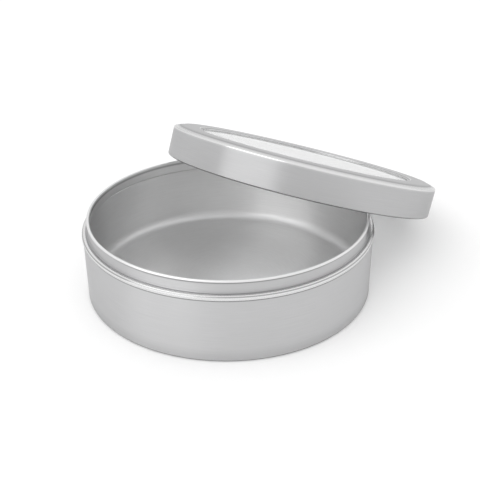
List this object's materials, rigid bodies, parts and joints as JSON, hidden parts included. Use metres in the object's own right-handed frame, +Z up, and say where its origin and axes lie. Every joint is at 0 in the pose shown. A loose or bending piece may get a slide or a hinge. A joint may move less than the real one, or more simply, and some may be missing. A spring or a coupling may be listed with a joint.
{
  "type": "window lid tin",
  "caption": "Round shallow metal tin with rolled shoulder bead and curled rim, and a loose slip lid with a clear round window, leaning open against the rim.",
  "frame": {"origin": "centre of the flat underside of the tin, on the tin's axis", "axes": "+Z up along the tin's axis, -Y towards the front of the picture, +X to its right"},
  "size_m": [0.1302, 0.1436, 0.0493],
  "materials": {
    "tin_metal": "satin drawn aluminium",
    "lid_metal": "satin drawn aluminium",
    "window_clear": "clear gloss plastic",
    "ring_metal": "satin pressed aluminium"
  },
  "bodies": {
    "base": {"tin_body": "tin_metal"},
    "lid": {"lid_shell": "lid_metal", "window_disc": "window_clear", "window_ring": "ring_metal"}
  },
  "joints": [
    {"name": "lid_lift", "type": "slide", "parent": "base", "child": "lid", "axis": [0, 0, 1], "range_m": [0, 0.05]}
  ]
}
